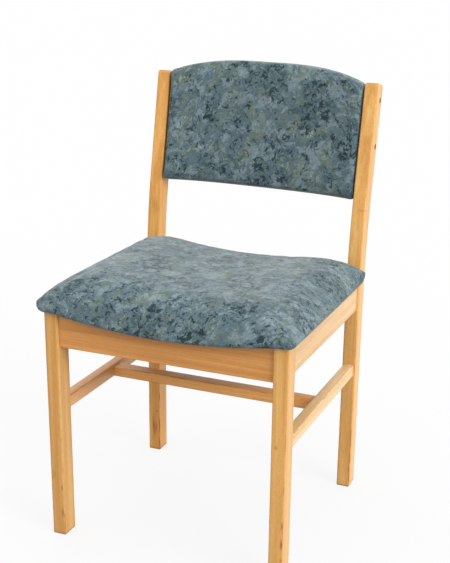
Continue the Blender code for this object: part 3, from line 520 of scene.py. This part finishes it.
speck = put(tree, "ShaderNodeValToRGB", {0: speck}, [(.32, SPECK_GREY), (.68, "#FFFFFF")]).outputs[0]
colour = put(tree, "ShaderNodeMix", {0: MOTTLE_SHARE, 6: colour, 7: speck},
             data_type="RGBA", blend_type="MULTIPLY").outputs[2]
over = put(tree, "ShaderNodeTexChecker", {"Vector": place, "Scale": 1 / THREAD}).outputs[1]
weft, warp = (put(tree, "ShaderNodeTexWave", {"Vector": place, "Scale": WAVE_LENGTH / THREAD},
                  bands_direction=axis).outputs[1] for axis in "XY")
weave = put(tree, "ShaderNodeMix", {0: over, 2: weft, 3: warp}).outputs[0]
shade = put(tree, "ShaderNodeMapRange", {0: weave, 1: 0, 2: 1, 3: WEAVE_DARK, 4: WEAVE_LIGHT}).outputs[0]
colour = put(tree, "ShaderNodeVectorMath", {0: colour, "Scale": shade}, operation="SCALE").outputs[0]
rough = put(tree, "ShaderNodeMapRange", {0: weave, 1: 0, 2: 1, 3: WEAVE_DULL, 4: WEAVE_SMOOTH}).outputs[0]
bump = put(tree, "ShaderNodeBump", {"Height": weave, "Strength": .5, "Distance": WEAVE_RELIEF}).outputs[0]
surface = put(tree, "ShaderNodeBsdfPrincipled",
              {"Base Color": colour, "Roughness": rough, "Normal": bump, "IOR": CLOTH_IOR,
               "Specular IOR Level": CLOTH_SPECULAR, "Sheen Weight": FUZZ_WEIGHT,
               "Sheen Roughness": FUZZ_ROUGHNESS})
put(tree, "ShaderNodeOutputMaterial", {0: surface.outputs[0]})

CLOTH_GIVE = .012
CLOTH_STIFFNESS = .4
CLOTH_QUALITY = 5
CLOTH_STEPS = 20
LEAST_MOVE = 1e-9


def draw_tight(piece, held, pressure, cap):
    """Lets the foam swell the cloth from inside and settle against the edges where it is stapled."""
    group = piece.vertex_groups.new(name="stapled")
    group.add(held, 1, "REPLACE")
    count = len(piece.data.vertices)
    start = np.zeros(count * 3)
    piece.data.vertices.foreach_get("co", start)
    cloth = piece.modifiers.new("swell", "CLOTH")
    cloth.settings.vertex_group_mass = group.name
    cloth.settings.use_pressure = True
    cloth.settings.uniform_pressure_force = pressure
    cloth.settings.effector_weights.gravity = 0
    cloth.settings.shrink_min = -CLOTH_GIVE
    cloth.settings.bending_stiffness = CLOTH_STIFFNESS
    cloth.settings.quality = CLOTH_QUALITY
    for step in range(1, CLOTH_STEPS + 1):
        bpy.context.scene.frame_set(step)
    swollen = np.zeros(count * 3)
    shape = piece.evaluated_get(bpy.context.evaluated_depsgraph_get())
    shape.data.vertices.foreach_get("co", swollen)
    piece.modifiers.remove(cloth)
    bpy.context.scene.frame_set(1)
    move = (swollen - start).reshape(-1, 3)
    reach = np.linalg.norm(move, axis=1, keepdims=True)
    # A point that wants to go further than the cap comes to rest softly against it.
    move *= cap * np.tanh(reach / cap) / np.maximum(reach, LEAST_MOVE)
    piece.data.vertices.foreach_set("co", start + move.ravel())
    piece.data.update()


def stapled_points(rings, first_free, cells):
    """The numbers of the points that can't swell: the rings before the first free one, and the grid that
    fills the hidden face."""
    count = 2 * sum(cells)
    fill_start = len(rings) * count
    fill = (cells[0] - 1) * (cells[1] - 1)
    return list(range(first_free * count)) + list(range(fill_start, fill_start + fill))


seat_low, seat_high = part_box("seat_cover")
SEAT_HALF = seat_high.x
SEAT_REAR = seat_high.y
SEAT_BOW = .007
SEAT_FRONT = seat_low.y + SEAT_BOW
SEAT_UNDER_DISH = .0215
SEAT_EDGE = seat_low.z + SEAT_UNDER_DISH
SEAT_WIDEST = .006
SEAT_THICK = .0549
SEAT_TOP_DISH = .0148
SEAT_REAR_DROP = .0034
SEAT_CROWN = .0059
SEAT_LEAN = .0045
SEAT_SIDE_ROLL = .130
SEAT_FRONT_ROLL = .062
SEAT_REAR_ROLL = .043
SEAT_REAR_TALL = 2
SEAT_LEFT_TALL = .6
SEAT_RIM = .045
SEAT_RIM_RINGS = 12
SEAT_CORNERS = (.010, .007)
SEAT_CELLS = (76, 66)
SEAT_CLEARANCE = .0004
SEAT_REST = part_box("side_rail_right")[1].z + SEAT_CLEARANCE
SEAT_TURN_UP = .014
# Insets of the rings under the seat, from the panel's middle out to where the cloth turns up.
PANEL_INSET = .062
UNDER_INSETS = (.030, .016, .007)
TURN_INSET, TURN_RISE = .002, .0018
LINING_GAP = .0003
LINING_INSET = SEAT_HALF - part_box("seat_lining")[1].x - LINING_GAP
LINING_STEP = .001
LINING_ROOM = .004


def seat_point(x, y, level):
    """level holds the height over the underside, and then 0 up to the widest line or 1 over it, where the
    foam swells in from the edges."""
    low, over = level
    across = 1 - (x / SEAT_HALF) ** 2
    forward = (SEAT_REAR - y) / (SEAT_REAR - SEAT_FRONT)
    # Over the side rails and the tops of the legs the underside settles on to the wood.
    turn_up = max(1 - (SEAT_HALF - abs(x)) / SEAT_TURN_UP, 0) ** 2
    rest = SEAT_REST + (SEAT_EDGE - SEAT_REST) * turn_up
    under = min(SEAT_EDGE - SEAT_UNDER_DISH * across, rest)
    top = SEAT_EDGE + SEAT_THICK - SEAT_TOP_DISH * across - SEAT_REAR_DROP * (1 - forward)
    top += SEAT_CROWN * 4 * forward * (1 - forward) - SEAT_LEAN * x / SEAT_HALF
    # The edge stands taller towards the posts, and where more cloth is gathered at the front left corner.
    rear_tall = SEAT_REAR_TALL * max(1 - forward, 0) ** 3
    left_tall = SEAT_LEFT_TALL * (max(-x / SEAT_HALF, 0) * forward) ** 6
    low *= 1 + rear_tall + left_tall
    swell = over
    for depth, roll in ((SEAT_HALF - abs(x), SEAT_SIDE_ROLL), (y - SEAT_FRONT, SEAT_FRONT_ROLL),
                        (SEAT_REAR - y, SEAT_REAR_ROLL)):
        swell *= math.sqrt(1 - (1 - min(max(depth / roll, 0), 1)) ** 3)
    return Vector((x, y - SEAT_BOW * across * forward ** 3, under + low + swell * (top - under - low)))


seat_rings = [(PANEL_INSET, (LINING_ROOM, 0)), (LINING_INSET + LINING_STEP, (LINING_ROOM, 0)),
              (LINING_INSET, (0, 0))]
seat_rings += [(inset, (0, 0)) for inset in UNDER_INSETS]
seat_rings += [(TURN_INSET, (TURN_RISE, 0)), (0, (SEAT_WIDEST, 0))]
first_free = len(seat_rings)
for angle in np.linspace(0, math.pi / 2, SEAT_RIM_RINGS)[1:]:
    seat_rings.append((SEAT_RIM * (1 - math.cos(angle)), (SEAT_WIDEST, 1)))
seat_cushion = upholster(
    "seat_cushion", seat_rings,
    lambda inset: outline(inset, SEAT_HALF, SEAT_FRONT, SEAT_REAR, *SEAT_CORNERS, SEAT_CELLS),
    seat_point, SEAT_CELLS, printed_cloth)
draw_tight(seat_cushion, stapled_points(seat_rings, first_free, SEAT_CELLS), pressure=4, cap=.0045)

# The cloth is gathered under each front corner, and its folds fan out over the corner and die away.
PLEAT_DEPTH = .0011
PLEAT_COUNT = 4.5
PLEAT_REACH = .075
PLEAT_START = .012
PLEAT_FADE = 1.5
PLEAT_SKEW = 1.3
CORNER_INSET = .004
FAN_OUTSET = .012
RIPPLE_DEPTH = .0007
RIPPLE_REACH = .030
RIPPLE_ALONG, RIPPLE_ACROSS = .011, .05
RIPPLE_SLICE = 3.7
FACES_DOWN = -.2
normals = [vertex.normal.copy() for vertex in seat_cushion.data.vertices]
for vertex, normal in zip(seat_cushion.data.vertices, normals):
    for side in (-1, 1):
        corner = Vector((side * (SEAT_HALF - CORNER_INSET), SEAT_FRONT + CORNER_INSET, SEAT_EDGE))
        from_corner = vertex.co - corner
        reach = from_corner.length
        if reach < PLEAT_REACH and normal.z > FACES_DOWN:
            turn = math.atan2(from_corner.y + FAN_OUTSET, -side * from_corner.x + FAN_OUTSET)
            fade = min(reach / PLEAT_START, 1) * (1 - reach / PLEAT_REACH) ** PLEAT_FADE
            fold = math.sin(turn * 2 * math.pi * PLEAT_COUNT / (math.pi / 2) + PLEAT_SKEW * side)
            vertex.co += normal * PLEAT_DEPTH * fade * fold
    # Between the staples along the sides the pull leaves shallow ripples, which fade towards the top.
    edge = 1 - min((SEAT_HALF - abs(vertex.co.x)) / RIPPLE_REACH, 1)
    if edge > 0 and normal.z > FACES_DOWN:
        spot = Vector((vertex.co.y / RIPPLE_ALONG, vertex.co.x / RIPPLE_ACROSS, RIPPLE_SLICE))
        vertex.co += normal * RIPPLE_DEPTH * edge * noise.noise(spot)
seat_cushion.modifiers.new("smooth_cloth", "SUBSURF").render_levels = 1
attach(seat_cushion, BODY)
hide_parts("seat_cover", "seat_foam", "seat_panel")


# Lining: a sheet of black non-woven cloth stapled under the seat's panel. It hides the foam and the raw
# edges of the cover.

LINING_BLACK = "#1B1B1D"
LINING_GREY = "#323335"
LINING_FIBRE = .004
LINING_ROUGHNESS = .88
LINING_IOR = 1.49
DIMPLE = .0022
DIMPLE_SCATTER = .15
DIMPLE_RELIEF = .0003
lining = bare_material("polypropylene_spunbonded_black")
tree = lining.node_tree
place = put(tree, "ShaderNodeTexCoord").outputs["Object"]
# Spunbonded lining is dull black, with pale hair-thin fibres and a grid of small pressed dimples.
fibres = put(tree, "ShaderNodeTexNoise",
             {"Vector": place, "Scale": 1 / LINING_FIBRE, "Detail": 6, "Roughness": .7,
              "Distortion": 2}).outputs[0]
dimples = put(tree, "ShaderNodeTexVoronoi",
              {"Vector": place, "Scale": 1 / DIMPLE, "Randomness": DIMPLE_SCATTER}).outputs[0]
colour = put(tree, "ShaderNodeValToRGB", {0: fibres}, [(.40, LINING_BLACK), (.72, LINING_GREY)]).outputs[0]
bump = put(tree, "ShaderNodeBump",
           {"Height": dimples, "Strength": .5, "Distance": DIMPLE_RELIEF}).outputs[0]
surface = put(tree, "ShaderNodeBsdfPrincipled",
              {"Base Color": colour, "Roughness": LINING_ROUGHNESS, "IOR": LINING_IOR, "Normal": bump})
put(tree, "ShaderNodeOutputMaterial", {0: surface.outputs[0]})
finish_node("seat_lining", lining)


# Backrest: a moulded plywood panel, hollow across and arched along the top, with foam on both sides and the
# same printed cloth drawn round it. It is held between the posts by screws into battens inside.

RAKE = math.radians(11.2)
BACK_ORIGIN = Vector((0, .16634, .57641))
BACK_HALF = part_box("back_cover")[1].x
BACK_LOW = .0004
BACK_HIGH = .2116
BACK_ARCH = .029
BACK_LOWER_ARCH = .004
BACK_ARCH_POWER = 3
BACK_HOLLOW = .012
BACK_LEAN = .002
BACK_FRONT = -.0045
BACK_ROLL = .006
BACK_ROLL_RINGS = 6
BACK_REAR = .0291
BACK_CORNER = .008
BACK_CELLS = (64, 38)
BACK_SLACK = .0012
# Rings from the rear's recess, which the board covers, over its rim and round to the sides: inset, and
# depth under the rear face. The two on the sides are measured back from the front of the posts.
BACK_REAR_RINGS = ((.036, .003), (.026, .003), (.022, .0012), (.014, 0), (.006, 0), (.0022, .0010),
                   (.0005, .0032), (0, .0065))
BACK_SIDE_RINGS = (.0165, .0110)


def back_point(x, s, n):
    """s runs up the backrest's slope and n back from the front of the posts."""
    share = (s - BACK_LOW) / (BACK_HIGH - BACK_LOW)
    rise = BACK_LOWER_ARCH + (BACK_ARCH - BACK_LOWER_ARCH) * share
    s = s + rise * (1 - abs(x / BACK_HALF) ** BACK_ARCH_POWER) - BACK_LEAN * x / BACK_HALF
    n = n + BACK_HOLLOW * (1 - (x / BACK_HALF) ** 2)
    y = s * math.sin(RAKE) + n * math.cos(RAKE)
    z = s * math.cos(RAKE) - n * math.sin(RAKE)
    return BACK_ORIGIN + Vector((x, y, z))


def back_rim(inset):
    return outline(inset, BACK_HALF, BACK_LOW, BACK_HIGH, BACK_CORNER, BACK_CORNER, BACK_CELLS)


back_rings = [(inset, BACK_REAR - depth) for inset, depth in BACK_REAR_RINGS]
back_rings += [(0, n) for n in BACK_SIDE_RINGS]
first_free = len(back_rings) - 1
front_start = BACK_FRONT + BACK_SLACK
for angle in np.linspace(0, math.pi / 2, BACK_ROLL_RINGS):
    back_rings.append((BACK_ROLL * (1 - math.cos(angle)),
                       front_start + BACK_ROLL * (1 - math.sin(angle))))
back_cushion = upholster("back_cushion", back_rings, back_rim, back_point, BACK_CELLS, printed_cloth)
draw_tight(back_cushion, stapled_points(back_rings, first_free, BACK_CELLS), pressure=3, cap=.0026)
back_cushion.modifiers.new("smooth_cloth", "SUBSURF").render_levels = 1
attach(back_cushion, BODY)
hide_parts("back_cover", "back_foam", "back_rear_foam", "back_panel",
            "back_batten_left", "back_batten_right")


# Rear board: a thin board covered in the same cloth. It is pressed over the raw edges at the back of the
# backrest.

BOARD_INSET = .0223
BOARD_FACE = .0309
BOARD_ROUND = .0016
BOARD_ROUND_RINGS = 4
BOARD_THICK = .0030
BOARD_EASE = .0006
BOARD_EDGE = .0022
BOARD_HIDDEN_INSET = .040
board_rings = [(BOARD_HIDDEN_INSET, BOARD_FACE - BOARD_THICK),
               (BOARD_INSET + BOARD_EASE, BOARD_FACE - BOARD_THICK), (BOARD_INSET, BOARD_FACE - BOARD_EDGE)]
for angle in np.linspace(0, math.pi / 2, BOARD_ROUND_RINGS):
    board_rings.append((BOARD_INSET + BOARD_ROUND * (1 - math.cos(angle)),
                        BOARD_FACE - BOARD_ROUND * (1 - math.sin(angle))))
rear_board = upholster("backrest_rear_board", board_rings, back_rim, back_point, BACK_CELLS, printed_cloth)
rear_board.data.flip_normals()
rear_board.modifiers.new("smooth_cloth", "SUBSURF").render_levels = 1
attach(rear_board, BODY)
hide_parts("back_rear_panel")


# Plugs: moulded brown caps pressed into the outer faces of the posts. They cover the heads of the
# backrest's screws.

PLUG_BROWN = "#4A2F1E"
PLUG_RUBBED = "#6A4A33"
PLUG_RUB = .004
PLUG_SMOOTH, PLUG_DULL = .38, .52
PLUG_RELIEF = .0001
PLUG_IOR = 1.51
plug = bare_material("polyethylene_moulded_brown")
tree = plug.node_tree
place = put(tree, "ShaderNodeTexCoord").outputs["Object"]
# Moulded plugs are dark and slightly waxy, a little paler where hands and cloths have rubbed them.
rubbed = put(tree, "ShaderNodeTexNoise", {"Vector": place, "Scale": 1 / PLUG_RUB, "Detail": 4}).outputs[0]
colour = put(tree, "ShaderNodeValToRGB", {0: rubbed}, [(.4, PLUG_BROWN), (.75, PLUG_RUBBED)]).outputs[0]
rough = put(tree, "ShaderNodeMapRange", {0: rubbed, 1: .3, 2: .7, 3: PLUG_SMOOTH, 4: PLUG_DULL}).outputs[0]
bump = put(tree, "ShaderNodeBump", {"Height": rubbed, "Strength": .15, "Distance": PLUG_RELIEF}).outputs[0]
surface = put(tree, "ShaderNodeBsdfPrincipled",
              {"Base Color": colour, "Roughness": rough, "IOR": PLUG_IOR, "Normal": bump})
put(tree, "ShaderNodeOutputMaterial", {0: surface.outputs[0]})
for side in SIDES:
    for end in ("lower", "upper"):
        finish_node("post_plug_{}_{}".format(side, end), plug)


# Studio: a white paper floor that runs out to a white surround, one large soft lamp to the right and in
# front, and light from all round that is brighter from overhead.

PAPER = "#A2A2A1"
PAPER_SEEN = "#D0D0CF"
WHITE = (1, 1, 1, 1)
FLOOR_REACH = 40
FLOOR_DROP = .0002
SHADOW_SHARE = .16
HORIZON_LIGHT = .54
ZENITH_LIGHT = 1.56
# The surround is as white as the lit paper looks, so that no line shows where they meet.
SURROUND_SEEN = .994
LAMP_STRENGTH = .69
LAMP_SPREAD = math.radians(35)
LAMP_FROM = Vector((.84, -.33, .43))


def ray_seen(tree):
    """1 where a thing is seen, straight, in a gloss or through glass, and 0 where it only gives light."""
    ray = put(tree, "ShaderNodeLightPath")
    seen = put(tree, "ShaderNodeMath", {0: ray.outputs["Is Camera Ray"], 1: ray.outputs["Is Glossy Ray"]},
               operation="MAXIMUM").outputs[0]
    return put(tree, "ShaderNodeMath", {0: seen, 1: ray.outputs["Is Transmission Ray"]},
               operation="MAXIMUM").outputs[0]


scene = bpy.context.scene
scene.view_settings.view_transform = "Standard"
mesh = bpy.data.meshes.new("paper_floor")
floor_corners = [(x * FLOOR_REACH, y * FLOOR_REACH, -FLOOR_DROP)
                 for x, y in ((-1, -1), (1, -1), (1, 1), (-1, 1))]
mesh.from_pydata(floor_corners, [], [(0, 1, 2, 3)])
floor = bpy.data.objects.new("paper_floor", mesh)
scene.collection.objects.link(floor)
paper = bare_material("paper_matt_white")
tree = paper.node_tree
# Matt paper shows the chair's shadow only faintly, because most of what is seen of it is plain white.
seen = ray_seen(tree)
share = put(tree, "ShaderNodeMath", {0: seen, 1: 1 - SHADOW_SHARE}, operation="MULTIPLY").outputs[0]
shown = put(tree, "ShaderNodeMix", {0: seen, 6: linear(PAPER), 7: linear(PAPER_SEEN)},
            data_type="RGBA").outputs[2]
matt = put(tree, "ShaderNodeBsdfDiffuse", {0: shown}).outputs[0]
white = put(tree, "ShaderNodeEmission", {0: WHITE, 1: 1}).outputs[0]
mixed = put(tree, "ShaderNodeMixShader", {0: share, 1: matt, 2: white}).outputs[0]
put(tree, "ShaderNodeOutputMaterial", {0: mixed})
mesh.materials.append(paper)
world = bpy.data.worlds.new("white_surround")
scene.world = world
world.use_nodes = True
tree = world.node_tree
tree.nodes.clear()
seen = ray_seen(tree)
toward = put(tree, "ShaderNodeTexCoord").outputs["Generated"]
skyward = put(tree, "ShaderNodeSeparateXYZ", {0: toward}).outputs["Z"]
level = put(tree, "ShaderNodeMapRange",
            {0: skyward, 1: 0, 2: 1, 3: HORIZON_LIGHT, 4: ZENITH_LIGHT}).outputs[0]
level = put(tree, "ShaderNodeMix", {0: seen, 2: level, 3: SURROUND_SEEN}).outputs[0]
sky = put(tree, "ShaderNodeBackground", {0: WHITE, 1: level}).outputs[0]
put(tree, "ShaderNodeOutputWorld", {0: sky})
lamp = bpy.data.lights.new("soft_lamp", "SUN")
lamp.angle = LAMP_SPREAD
lamp.energy = LAMP_STRENGTH * math.pi
lamp_object = bpy.data.objects.new("soft_lamp", lamp)
lamp_object.rotation_euler = LAMP_FROM.to_track_quat("Z", "Y").to_euler()
scene.collection.objects.link(lamp_object)


# Camera: a long lens from the front right and above, at the photograph's viewing angle. Its place and
# focal length were worked out from the frame's straight edges there.

AZIMUTH, ELEVATION, ROLL = (math.radians(a) for a in (21.967, 19.121, .9145))
CAMERA_PLACE = (.7461, -1.7499, 1.0214)
PICTURE_WIDE, PICTURE_TALL = 450, 563
FOCAL_PIXELS = 1100.03
MIDDLE_X, MIDDLE_Y = 238.76, 322.53
camera = bpy.data.cameras.new("camera")
camera.lens = FOCAL_PIXELS * camera.sensor_width / PICTURE_TALL
camera.shift_x = (PICTURE_WIDE / 2 - MIDDLE_X) / PICTURE_TALL
camera.shift_y = (MIDDLE_Y - PICTURE_TALL / 2) / PICTURE_TALL
camera_object = bpy.data.objects.new("camera", camera)
flat = math.cos(ELEVATION)
back = Vector((math.sin(AZIMUTH) * flat, -math.cos(AZIMUTH) * flat, math.sin(ELEVATION)))
right = Vector((math.cos(AZIMUTH), math.sin(AZIMUTH), 0))
upward = back.cross(right)
rolled_right = right * math.cos(ROLL) + upward * math.sin(ROLL)
rolled_up = upward * math.cos(ROLL) - right * math.sin(ROLL)
turned = Matrix((rolled_right, rolled_up, back)).transposed().to_4x4()
camera_object.matrix_world = Matrix.Translation(CAMERA_PLACE) @ turned
scene.collection.objects.link(camera_object)
scene.camera = camera_object
